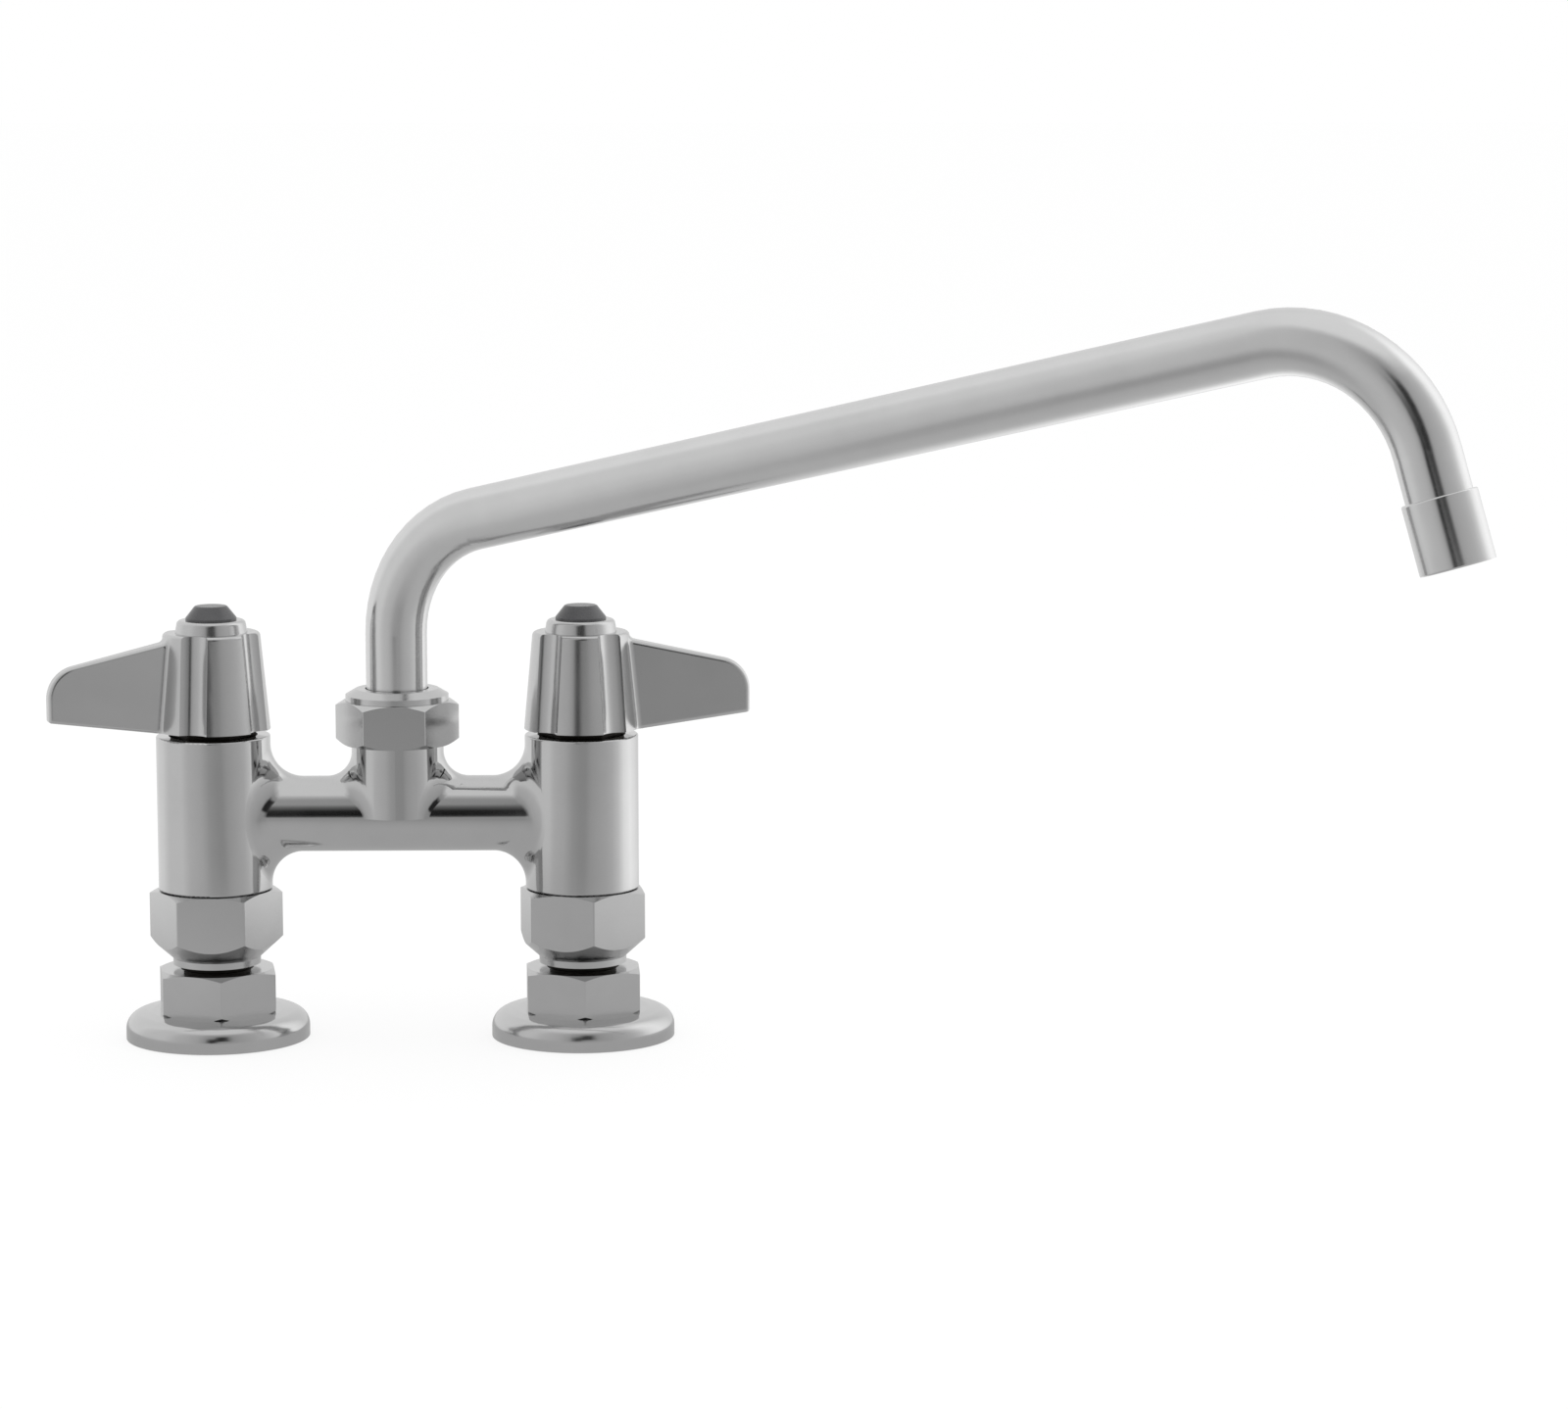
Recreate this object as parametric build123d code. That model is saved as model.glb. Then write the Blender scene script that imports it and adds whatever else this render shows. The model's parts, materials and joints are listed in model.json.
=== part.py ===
from build123d import *
import math
import os

# Deck-mount mixing faucet: two flanged supply legs, quarter-turn lever valves and a swinging spout.
# Millimetres. +Z is up and the origin is on the deck, midway between the legs.
# The hot leg is at -X, the cold leg at +X, and the user stands on the -Y side.
# Threads are drawn as plain cylinders at their pitch size, the supply holes at their tap drill's.

# Layout and clearances
leg_centres = 101.6
running_clearance = 0.05
thread_clearance = 0.05
fitting_clearance = 0.15
axial_clearance = 0.1
edge_tolerance = 0.01

# Supply flanges
flange_radius = 25.4
flange_rim_height = 6.8
flange_rim_round = 4.5
flange_cone_height = 0.8
flange_cone_radius = 18.2
flange_hex_across = 31.0
flange_hex_foot_radius = 16.8
flange_hex_foot_slope = 1.0
flange_hex_top_slope = 1.2
hot_flange_turn = 39.0
cold_flange_turn = 27.0
flange_height = 19.4
inlet_bore_radius = 9.15
inlet_bore_depth = 12.0
hex_corner_trim = 0.3
hex_corner_round = 0.5

# Union tails between flange and body
tail_thread_radius = 10.0
tail_neck_radius = 9.2
tail_bore_radius = 6.5
tail_collar_radius = 12.4
tail_collar_height = 3.0
tail_edge_chamfer = 0.4
neck_gap = 1.4

# Coupling nuts and their washers
coupling_hex_across = 32.0
coupling_height = 20.8
coupling_lip_height = 4.5
coupling_foot_radius = 12.1
coupling_foot_height = 1.8
coupling_foot_slope = 6.1
coupling_top_slope = 1.3
hot_nut_turn = 0.0
cold_nut_turn = 19.0
washer_thickness = 1.6
washer_margin = 0.4

# Body casting
spigot_radius = 13.2
nut_to_barrel_gap = 0.2
barrel_radius = 15.7
barrel_height = 42.9
barrel_edge_round = 0.5
crossbar_radius = 10.45
crossbar_rise = 20.8
crossbar_bore_radius = 6.0
riser_radius = 12.7
riser_shoulder_rise = 19.7
riser_thread_radius = 12.0
riser_thread_length = 5.7
riser_bore_radius = 9.6
riser_chamber_radius = 7.5
barrel_web_fillet = 9.0
riser_web_fillet = 7.0
web_margin = 1.0
belly_relief = 0.05

# Valve cartridge pocket
pocket_radius = 11.0
pocket_depth = 31.7
bonnet_thread_radius = 12.2
bonnet_thread_length = 8.0

# Ceramic discs and seat seal
seal_height = 2.0
seal_inner_radius = 7.4
disc_radius = 9.2
disc_thickness = 3.0
port_inner_radius = 2.4
port_outer_radius = 7.2
port_angle = 76.0
notch_depth = 1.8

# Cartridge housing
housing_wall_gap = 0.8
housing_foot_gap = 0.3
housing_guide_length = 10.2
housing_flange_radius = 12.0
housing_flange_height = 2.0
housing_neck_radius = 8.3
housing_neck_length = 9.5
housing_window_height = 3.0
housing_window_angle = 84.0
body_ring_depth = 1.3
body_ring_height = 2.2
body_ring_drop = 5.5

# Bonnet
bonnet_hex_across = 20.5
bonnet_hex_height = 4.0
bonnet_hex_top_slope = 1.0

# Stem
lever_travel = 90.0
stem_plate_radius = 9.0
stem_plate_height = 3.4
stem_radius = 6.0
stem_tang_height = 1.0
stem_tang_width = 4.0
stem_tang_reach = 5.5
stop_dog_angle = 90.0
stop_angle = 24.0
stop_height = 1.8
stop_inner_radius = 6.9
stop_play = 1.0
stem_ring_depth = 1.3
stem_ring_height = 1.9
stem_ring_rises = (5.0, 10.0)
clip_groove_depth = 1.0
clip_thickness = 0.8
clip_radius = 7.4
clip_opening_angle = 70.0
spline_tip_radius = 4.2
spline_root_radius = 3.7
spline_teeth = 16
stem_shaft_tail = 1.0
screw_thread_radius = 1.9
screw_thread_length = 10.0

# Lever handles
handle_gap = 1.7
hub_foot_radius = 15.8
hub_ledge_radius = 13.3
hub_height = 26.9
hub_ledge_round = 1.1
collar_foot_radius = 9.9
collar_top_radius = 9.3
collar_height = 3.4
collar_round = 1.2
flute_radius = 5.6
flute_depth = 2.1
flute_angle = 52.0
hub_cavity_radius = 12.4
hub_cavity_depth = 5.4
hub_step_radius = 9.6
hub_step_depth = 4.0
web_thickness = 2.7
button_recess_depth = 3.5
well_radius = 5.0
blade_tip_radius = 46.5
blade_tip_foot_rise = 4.4
blade_foot_angle = 8.5
blade_top_angle = 11.6
blade_top_root_rise = 24.8
blade_tip_round = 9.0
blade_tip_foot_round = 1.0
blade_root_thickness = 6.4
blade_tip_thickness = 3.8
blade_edge_round = 1.1
blade_root_fillet = 1.8
blank_spare_length = 5.0
hot_lever_turn = 23.0
cold_lever_turn = 0.0

# Handle screws and index buttons
screw_head_radius = 3.8
screw_head_top_radius = 2.7
screw_head_height = 2.4
screw_slot_width = 1.1
screw_slot_depth = 1.1
button_radius = 7.0
button_top_radius = 4.4
button_rim_height = 0.6
button_height = 3.9
button_top_round = 0.9

# Spout sleeve, seals and swivel nut
sleeve_length = 18.5
sleeve_bore_radius = 6.2
sleeve_collar_radius = 11.2
sleeve_collar_height = 3.0
sleeve_socket_depth = 9.0
sleeve_ring_depth = 1.7
sleeve_ring_height = 2.4
sleeve_ring_rises = (2.5, 7.5)
thrust_washer_thickness = 0.9
swivel_hex_across = 29.6
swivel_hex_height = 12.0
swivel_hex_slope = 1.6
swivel_dome_radius = 14.2
swivel_dome_top_radius = 11.4
swivel_dome_height = 3.3
swivel_dome_round = 1.8

# Spout tube
tube_radius = 8.45
tube_wall = 1.2
spout_reach = 305.0
spout_slope = 13.3
spout_first_bend_rise = 22.0
spout_first_bend_radius = 33.6
spout_outlet_angle = 72.9
spout_outlet_straight = 29.2
spout_outlet_bend_radius = 36.5
spout_swing = 28.8

# Outlet tip and its insert
tip_radius = 9.55
tip_length = 18.0
tip_edge_round = 0.5
tip_lip_height = 2.0
tip_lip_radius = 6.9
tip_pocket_radius = 8.0
screen_thickness = 0.4
screen_hole_radius = 0.75
screen_hole_rings = ((1, 0.0), (6, 2.6), (12, 5.2))
straightener_height = 7.2
straightener_wall = 1.0
straightener_vane = 0.8
straightener_vanes = 6
outlet_washer_thickness = 1.6

# Heights worked out from the sizes above
coupling_foot = flange_height + neck_gap
collar_foot = coupling_foot + coupling_lip_height
washer_foot = collar_foot + tail_collar_height
spigot_foot = washer_foot + washer_thickness
coupling_top = coupling_foot + coupling_height
barrel_foot = coupling_top + nut_to_barrel_gap
barrel_top = barrel_foot + barrel_height
crossbar_z = barrel_foot + crossbar_rise
riser_shoulder = crossbar_z + riser_shoulder_rise
riser_rim = riser_shoulder + riser_thread_length
sleeve_foot = riser_rim - sleeve_length
pocket_floor = barrel_top - pocket_depth
pocket_step = barrel_top - bonnet_thread_length
fixed_disc_foot = pocket_floor + seal_height
moving_disc_foot = fixed_disc_foot + disc_thickness
stem_foot = moving_disc_foot + disc_thickness
stem_shoulder = stem_foot + stem_plate_height
housing_shoulder = stem_shoulder + axial_clearance
bonnet_foot = pocket_step + housing_flange_height
housing_top = bonnet_foot + housing_neck_length
hub_foot = barrel_top + handle_gap
hub_ledge = hub_foot + hub_height
collar_top = hub_ledge + collar_height
button_foot = collar_top - button_recess_depth
well_foot = button_foot - screw_head_height - 2 * axial_clearance
stem_top = well_foot - web_thickness
tube_foot = riser_rim + sleeve_collar_height - sleeve_socket_depth
swivel_top = riser_shoulder + swivel_hex_height
stem_bore_radius = stem_radius + running_clearance
skirt_radius = disc_radius + fitting_clearance
tube_bore_radius = tube_radius - tube_wall


def turned(*corners):
    """Solid turned about the vertical axis from (radius, height[, round]) corners."""
    outline = make_face(Polyline(*[(corner[0], corner[1]) for corner in corners], close=True))
    for radius, height, round_size in [corner for corner in corners if len(corner) == 3]:
        vertex = outline.vertices().sort_by_distance((radius, height))[0]
        outline = fillet(vertex, round_size)
    return revolve(Plane.XZ * outline, Axis.Z)


def rod(radius, foot, top):
    """Upright cylinder between two heights."""
    return Pos(0, 0, foot) * Cylinder(radius, top - foot, align=(Align.CENTER, Align.CENTER, Align.MIN))


def ring(outer, inner, foot, top):
    """Flat-ended ring between two heights."""
    return rod(outer, foot, top) - rod(inner, foot - 1, top + 1)


def seal_ring(outer, inner, foot, top):
    """Rubber ring squeezed in its groove, so its section is a square with broken corners."""
    trim = min(outer - inner, top - foot) / 4
    return turned(
        (inner, foot + trim),
        (inner + trim, foot),
        (outer - trim, foot),
        (outer, foot + trim),
        (outer, top - trim),
        (outer - trim, top),
        (inner + trim, top),
        (inner, top - trim),
    )


def hex_prism(across, foot, top, turn=0.0):
    """Upright hexagon with two of its flats facing front and back at no turn."""
    section = RegularPolygon(across / 2, 6, major_radius=False, rotation=turn)
    section = fillet(section.vertices(), hex_corner_round)
    return extrude(Pos(0, 0, foot) * section, top - foot)


def hex_body(across, foot, top, foot_radius, foot_slope, top_slope, turn=0.0):
    """Hexagon with softened corners that are turned off to cones at both ends."""
    corner = across / math.sqrt(3) + hex_corner_trim
    envelope = turned(
        (0, foot),
        (foot_radius, foot),
        (corner, foot + foot_slope),
        (corner, top - top_slope),
        (across / 2, top),
        (0, top),
    )
    return hex_prism(across, foot, top, turn) & envelope


def sector(outer, inner, centre_angle, width_angle, foot, top):
    """Slice of a ring, centred on an angle measured from +X."""
    start = centre_angle - width_angle / 2
    slice_face = make_face([
        CenterArc((0, 0), outer, start, width_angle),
        CenterArc((0, 0), inner, start, width_angle),
        Line(on_circle(outer, start), on_circle(inner, start)),
        Line(on_circle(outer, start + width_angle), on_circle(inner, start + width_angle)),
    ])
    return extrude(Pos(0, 0, foot) * slice_face, top - foot)


def on_circle(radius, angle):
    """Point at a radius and an angle in degrees."""
    return (radius * math.cos(math.radians(angle)), radius * math.sin(math.radians(angle)))


def inlet_flange(turn):
    """Deck flange with a hexagon, a female supply thread below and the tail's socket above."""
    plate_top = flange_rim_height + flange_cone_height
    plate = turned(
        (0, 0),
        (flange_radius, 0),
        (flange_radius, flange_rim_height, flange_rim_round),
        (flange_cone_radius, plate_top),
        (0, plate_top),
    )
    hexagon = hex_body(
        flange_hex_across,
        plate_top,
        flange_height,
        flange_hex_foot_radius,
        flange_hex_foot_slope,
        flange_hex_top_slope,
        turn=turn,
    )
    thread_and_socket = turned(
        (0, -1),
        (inlet_bore_radius, -1),
        (inlet_bore_radius, inlet_bore_depth),
        (tail_thread_radius, inlet_bore_depth),
        (tail_thread_radius, flange_height + 1),
        (0, flange_height + 1),
    )
    return plate + hexagon - thread_and_socket


def coupling_tail():
    """Short union tube: thread in the flange, neck, and the collar that the nut pulls up."""
    thread_radius = tail_thread_radius - thread_clearance
    return turned(
        (tail_bore_radius, inlet_bore_depth),
        (thread_radius - tail_edge_chamfer, inlet_bore_depth),
        (thread_radius, inlet_bore_depth + tail_edge_chamfer),
        (thread_radius, flange_height - tail_edge_chamfer),
        (tail_neck_radius, flange_height),
        (tail_neck_radius, collar_foot),
        (tail_collar_radius, collar_foot),
        (tail_collar_radius, washer_foot - tail_edge_chamfer),
        (tail_collar_radius - tail_edge_chamfer, washer_foot),
        (tail_bore_radius, washer_foot),
    )


def coupling_washer():
    """Flat rubber washer between the tail's collar and the body's spigot."""
    return ring(tail_collar_radius, tail_bore_radius + washer_margin, washer_foot, spigot_foot)


def coupling_nut(turn):
    """Hexagon union nut with a lip under the collar and a long taper to a round foot."""
    taper_foot = coupling_foot + coupling_foot_height
    outside = rod(coupling_foot_radius, coupling_foot, taper_foot) + hex_body(
        coupling_hex_across,
        taper_foot,
        coupling_top,
        coupling_foot_radius,
        coupling_foot_slope,
        coupling_top_slope,
        turn=turn,
    )
    lip_hole = rod(tail_neck_radius + fitting_clearance, coupling_foot - 1, collar_foot + 1)
    thread = rod(spigot_radius + thread_clearance, collar_foot, coupling_top + 1)
    return outside - lip_hole - thread


def body_casting():
    """One casting: two valve barrels, the crossbar between them and the spout riser."""
    half = leg_centres / 2
    hot_half = Pos(-half, 0, 0) * barrel_tee()
    shell = hot_half + mirror(hot_half, about=Plane.YZ)
    shell += riser_tee() + riser_belly()
    shell += rod(riser_thread_radius, riser_shoulder, riser_rim)
    for side in (-half, half):
        shell += Pos(side, 0, 0) * rod(spigot_radius, spigot_foot, pocket_floor)
        shell -= Pos(side, 0, 0) * valve_bore()
    return shell - riser_bore() - lying_rod(crossbar_bore_radius, leg_centres)


def barrel_tee():
    """Upright valve barrel with softened rims, blended into its half of the crossbar, seam outwards."""
    barrel = turned(
        (0, barrel_foot),
        (barrel_radius, barrel_foot, barrel_edge_round),
        (barrel_radius, barrel_top, barrel_edge_round),
        (0, barrel_top),
    )
    tee = Rot(0, 0, 180) * barrel + Pos(leg_centres / 4, 0, 0) * lying_rod(crossbar_radius, leg_centres / 2)
    return fillet(web_edges(tee, barrel_radius), barrel_web_fillet)


def lying_rod(radius, length):
    """Cylinder along the crossbar's axis."""
    return Pos(0, 0, crossbar_z) * Rot(0, 90, 0) * Cylinder(radius, length)


def riser_tee():
    """Riser from the crossbar's axis up, seam to the front, blended into a short stretch of crossbar."""
    stretch = 2 * (riser_radius + riser_web_fillet + web_margin)
    riser = Rot(0, 0, -90) * rod(riser_radius, crossbar_z, riser_shoulder)
    tee = lying_rod(crossbar_radius, stretch) + riser
    return fillet(web_edges(tee, riser_radius), riser_web_fillet)


def riser_belly():
    """Lower half of the tee: the riser's blend turned down and rounded off flush with the crossbar."""
    turned_down = mirror(riser_tee(), about=Plane.XY.offset(crossbar_z))
    belly_plane = Plane(origin=(0, 0, crossbar_z), x_dir=(0, 1, 0), z_dir=(1, 0, 0))
    belly = extrude(belly_plane * Ellipse(riser_radius, crossbar_radius - belly_relief), leg_centres / 4, both=True)
    return turned_down & belly


def web_edges(tee, radius):
    """Curved edges where the crossbar meets an upright, found by their distance from its axis."""
    found = []
    for edge in tee.edges():
        middle = edge @ 0.5
        on_upright = abs(math.hypot(middle.X, middle.Y) - radius) < edge_tolerance
        if on_upright and edge.geom_type not in (GeomType.LINE, GeomType.CIRCLE):
            found.append(edge)
    return found


def valve_bore():
    """Waterway of a leg: supply hole, cartridge pocket and the bonnet's thread."""
    return turned(
        (0, spigot_foot - 1),
        (tail_bore_radius, spigot_foot - 1),
        (tail_bore_radius, pocket_floor),
        (pocket_radius, pocket_floor),
        (pocket_radius, pocket_step),
        (bonnet_thread_radius, pocket_step),
        (bonnet_thread_radius, barrel_top + 1),
        (0, barrel_top + 1),
    )


def riser_bore():
    """Seal bore for the spout sleeve above the mixing chamber."""
    chamber_foot = crossbar_z - crossbar_bore_radius
    chamber_top = sleeve_foot - axial_clearance
    return turned(
        (0, chamber_foot),
        (riser_chamber_radius, chamber_foot),
        (riser_chamber_radius, chamber_top - (riser_bore_radius - riser_chamber_radius)),
        (riser_bore_radius, chamber_top),
        (riser_bore_radius, riser_rim + 1),
        (0, riser_rim + 1),
    )


def seat_seal():
    """Rubber ring under the fixed disc."""
    return seal_ring(disc_radius, seal_inner_radius, pocket_floor, fixed_disc_foot)


def fixed_disc():
    """Lower ceramic disc with two ports through it."""
    disc = rod(disc_radius, fixed_disc_foot, moving_disc_foot)
    for angle in (0, 180):
        disc -= sector(
            port_outer_radius, port_inner_radius, angle, port_angle, fixed_disc_foot - 1, moving_disc_foot + 1
        )
    return disc


def moving_disc():
    """Upper ceramic disc: notches below lead water out to its rim, slots above take the stem's tangs."""
    disc = rod(disc_radius, moving_disc_foot, stem_foot)
    for angle in (90, 270):
        disc -= sector(
            disc_radius + 1,
            port_inner_radius,
            angle,
            port_angle,
            moving_disc_foot - 1,
            moving_disc_foot + notch_depth,
        )
    slot_depth = stem_tang_height + axial_clearance
    slot_width = stem_tang_width + 2 * fitting_clearance
    slot_reach = stem_tang_reach - fitting_clearance
    return disc - tangs(slot_reach, disc_radius + 1, slot_width, stem_foot - slot_depth, stem_foot + 1)


def tangs(inner, outer, width, foot, top):
    """Two blocks that stand opposite each other along X."""
    block = Box(outer - inner, width, top - foot, align=(Align.MIN, Align.CENTER, Align.MIN))
    return Pos(inner, 0, foot) * block + Rot(0, 0, 180) * Pos(inner, 0, foot) * block


def cartridge_housing():
    """Brass cartridge body: skirt round the discs, flange on the pocket's step, and a neck."""
    guide_foot = pocket_step - housing_guide_length
    guide_radius = pocket_radius - fitting_clearance
    groove_top = pocket_step - body_ring_drop
    groove_foot = groove_top - body_ring_height
    groove_radius = guide_radius - body_ring_depth
    skirt_foot = fixed_disc_foot + housing_foot_gap
    skirt_outer = pocket_radius - housing_wall_gap
    housing = turned(
        (skirt_radius, skirt_foot),
        (skirt_outer, skirt_foot),
        (skirt_outer, guide_foot),
        (guide_radius, guide_foot),
        (guide_radius, groove_foot),
        (groove_radius, groove_foot),
        (groove_radius, groove_top),
        (guide_radius, groove_top),
        (guide_radius, pocket_step),
        (housing_flange_radius, pocket_step),
        (housing_flange_radius, bonnet_foot),
        (housing_neck_radius, bonnet_foot),
        (housing_neck_radius, housing_top),
        (stem_bore_radius, housing_top),
        (stem_bore_radius, housing_shoulder),
        (skirt_radius, housing_shoulder),
    )
    for angle in (0, 180):
        housing -= sector(
            pocket_radius + 1,
            skirt_radius - 1,
            angle,
            housing_window_angle,
            moving_disc_foot,
            moving_disc_foot + housing_window_height,
        )
    dog = sector(
        skirt_radius + housing_foot_gap,
        stop_inner_radius + fitting_clearance,
        stop_dog_angle,
        stop_angle,
        housing_shoulder - stop_height,
        housing_shoulder + 1,
    )
    return housing + dog


def housing_o_ring():
    """Ring that seals the cartridge housing in its pocket."""
    guide_radius = pocket_radius - fitting_clearance
    top = pocket_step - body_ring_drop
    return seal_ring(pocket_radius, guide_radius - body_ring_depth, top - body_ring_height, top)


def bonnet():
    """Threaded ring that holds the cartridge down, with a hexagon above the barrel."""
    bore_radius = housing_neck_radius + fitting_clearance
    thread = ring(bonnet_thread_radius - thread_clearance, bore_radius, bonnet_foot, barrel_top)
    corner = bonnet_hex_across / math.sqrt(3)
    top = barrel_top + bonnet_hex_height
    hexagon = hex_body(bonnet_hex_across, barrel_top, top, corner, hex_corner_trim, bonnet_hex_top_slope)
    return thread + hexagon - rod(bore_radius, barrel_top - 1, top + 1)


def stem():
    """Brass stem: drive tangs, stop notch, ring grooves, clip groove, spline and screw hole."""
    groove_radius = stem_radius - stem_ring_depth
    clip_foot = housing_top + axial_clearance
    spline_foot = clip_foot + clip_thickness + stem_shaft_tail
    body = rod(stem_plate_radius, stem_foot, stem_shoulder) + rod(stem_radius, stem_shoulder, spline_foot)
    body += spline(0.0, spline_foot, stem_top)
    body += tangs(
        stem_tang_reach, stem_plate_radius - fitting_clearance, stem_tang_width, stem_foot - stem_tang_height, stem_foot
    )
    for rise in stem_ring_rises:
        foot = housing_shoulder + rise
        body -= ring(stem_radius + 1, groove_radius, foot, foot + stem_ring_height)
    clip_groove = clip_foot, clip_foot + clip_thickness
    body -= ring(stem_radius + 1, stem_radius - clip_groove_depth, *clip_groove)
    notch_width = stop_angle + lever_travel + 2 * stop_play
    notch_centre = stop_dog_angle - lever_travel / 2
    body -= sector(
        stem_plate_radius + 1,
        stop_inner_radius,
        notch_centre,
        notch_width,
        stem_shoulder - stop_height - axial_clearance,
        stem_shoulder + 1,
    )
    hole_foot = stem_top - screw_thread_length - 1
    return body - rod(screw_thread_radius + thread_clearance, hole_foot, stem_top + 1)


def spline(allowance, foot, top):
    """Toothed column that keys the lever to the stem."""
    points = []
    for index in range(2 * spline_teeth):
        radius = spline_tip_radius if index % 2 == 0 else spline_root_radius
        points.append(on_circle(radius + allowance, index * 180 / spline_teeth))
    return extrude(Pos(0, 0, foot) * make_face(Polyline(*points, close=True)), top - foot)


def stem_o_rings():
    """Two rings that seal the stem in its housing."""
    rings = []
    for rise in stem_ring_rises:
        foot = housing_shoulder + rise
        rings.append(seal_ring(stem_radius, stem_radius - stem_ring_depth, foot, foot + stem_ring_height))
    return Compound(children=rings)


def stem_clip():
    """Open ring in the stem's groove, just above the housing."""
    foot = housing_top + axial_clearance
    top = foot + clip_thickness
    clip = ring(clip_radius, stem_radius - clip_groove_depth, foot, top)
    return clip - sector(clip_radius + 1, 1, 90, clip_opening_angle, foot - 1, top + 1)


def lever_handle(turn):
    """Tapered hub with four flutes and one thin blade, hollow below to clear the bonnet."""
    blank = hub_blank() + blade()
    blank = fillet(blade_root_edges(blank), blade_root_fillet)
    blank -= rod(2 * blade_tip_radius, hub_foot - 2 * blank_spare_length, hub_foot)
    shape = Rot(0, 0, turn) * (blank - flutes())
    step_top = hub_foot + hub_cavity_depth + hub_step_depth
    inside = turned(
        (0, hub_foot - 1),
        (hub_cavity_radius, hub_foot - 1),
        (hub_cavity_radius, hub_foot + hub_cavity_depth),
        (hub_step_radius, hub_foot + hub_cavity_depth),
        (hub_step_radius, step_top),
        (0, step_top),
    )
    recess = turned(
        (0, stem_top - 1),
        (screw_thread_radius + 2 * fitting_clearance, stem_top - 1),
        (screw_thread_radius + 2 * fitting_clearance, well_foot),
        (well_radius, well_foot),
        (well_radius, button_foot),
        (button_plug_radius() + fitting_clearance, button_foot),
        (button_plug_radius() + fitting_clearance, collar_top + 1),
        (0, collar_top + 1),
    )
    return shape - inside - recess - spline(fitting_clearance / 2, step_top - 1, stem_top)


def button_plug_radius():
    """Plug of the index button, a little narrower than its cap."""
    return button_radius - 4 * fitting_clearance


def flutes():
    """Four hollow grooves that follow the hub's taper between its lobes."""
    foot_offset = hub_foot_radius - flute_depth + flute_radius
    ledge_offset = hub_ledge_radius - flute_depth + flute_radius
    lean = math.degrees(math.atan2(foot_offset - ledge_offset, hub_height))
    cutter = Pos(foot_offset, 0, hub_foot) * Rot(0, -lean, 0) * Cylinder(flute_radius, 4 * hub_height)
    angles = (flute_angle, 180 - flute_angle, 180 + flute_angle, -flute_angle)
    cut = Rot(0, 0, angles[0]) * cutter
    for angle in angles[1:]:
        cut += Rot(0, 0, angle) * cutter
    return cut


def hub_surface_radius(height):
    """Radius of the hub's cone at a height."""
    return hub_foot_radius - (hub_foot_radius - hub_ledge_radius) * (height - hub_foot) / hub_height


def hub_blank():
    """Hub with its collar and some spare length below, so the blade's blend runs on past the foot."""
    blank_foot = hub_foot - blank_spare_length
    return turned(
        (0, blank_foot),
        (hub_surface_radius(blank_foot), blank_foot),
        (hub_ledge_radius, hub_ledge, hub_ledge_round),
        (collar_foot_radius, hub_ledge),
        (collar_top_radius, collar_top, collar_round),
        (0, collar_top),
    )


def blade():
    """Thin upright paddle towards -X, thinner at its tip, with rounded edges."""
    root = hub_ledge_radius / 2
    length = blade_tip_radius - root
    tip_foot = hub_foot + blade_tip_foot_rise
    root_foot = tip_foot - length * math.tan(math.radians(blade_foot_angle))
    root_top = hub_foot + blade_top_root_rise + (hub_ledge_radius - root) * math.tan(math.radians(blade_top_angle))
    tip_top = root_top - length * math.tan(math.radians(blade_top_angle))
    side = make_face(Polyline(
        (-root, root_foot),
        (-blade_tip_radius, tip_foot),
        (-blade_tip_radius, tip_top),
        (-root, root_top),
        close=True,
    ))
    tip_corner = side.vertices().sort_by_distance((-blade_tip_radius, tip_top))[0]
    side = fillet(tip_corner, blade_tip_round)
    foot_corner = side.vertices().sort_by_distance((-blade_tip_radius, tip_foot))[0]
    side = fillet(foot_corner, blade_tip_foot_round)
    slab = extrude(Plane.XZ * side, blade_root_thickness, both=True)
    plan = make_face(Polyline(
        (-root, -blade_root_thickness / 2),
        (-blade_tip_radius - 1, -blade_tip_thickness / 2),
        (-blade_tip_radius - 1, blade_tip_thickness / 2),
        (-root, blade_root_thickness / 2),
        close=True,
    ))
    paddle = slab & extrude(Pos(0, 0, hub_foot - blank_spare_length) * plan, 2 * hub_height)
    rims = [edge for edge in paddle.edges() if not edge_crosses(edge) and (edge @ 0.5).X < -root - 1]
    return fillet(rims, blade_edge_round)


def edge_crosses(edge):
    """True for the short edges that cross the blade from face to face."""
    return abs((edge @ 0).Y - (edge @ 1).Y) > 1


def blade_root_edges(blank):
    """Loop of edges where the blade runs into the hub's cone."""
    found = []
    for edge in blank.edges():
        middle = edge @ 0.5
        gap = math.hypot(middle.X, middle.Y) - hub_surface_radius(middle.Z)
        beside_blade = middle.X < 0 and abs(middle.Y) < blade_root_thickness
        below_ledge = hub_foot - blade_root_fillet < middle.Z < hub_ledge - hub_ledge_round
        if beside_blade and below_ledge and abs(gap) < edge_tolerance:
            found.append(edge)
    return found


def handle_screw():
    """Slotted screw through the lever's web into the stem."""
    head = turned(
        (0, well_foot),
        (screw_head_radius, well_foot),
        (screw_head_radius, well_foot + screw_head_height / 2),
        (screw_head_top_radius, well_foot + screw_head_height),
        (0, well_foot + screw_head_height),
    )
    screw = head + rod(screw_thread_radius, stem_top - screw_thread_length, well_foot)
    slot = Box(3 * screw_head_radius, screw_slot_width, screw_slot_depth, align=(Align.CENTER, Align.CENTER, Align.MAX))
    return screw - Pos(0, 0, well_foot + screw_head_height) * slot


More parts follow.
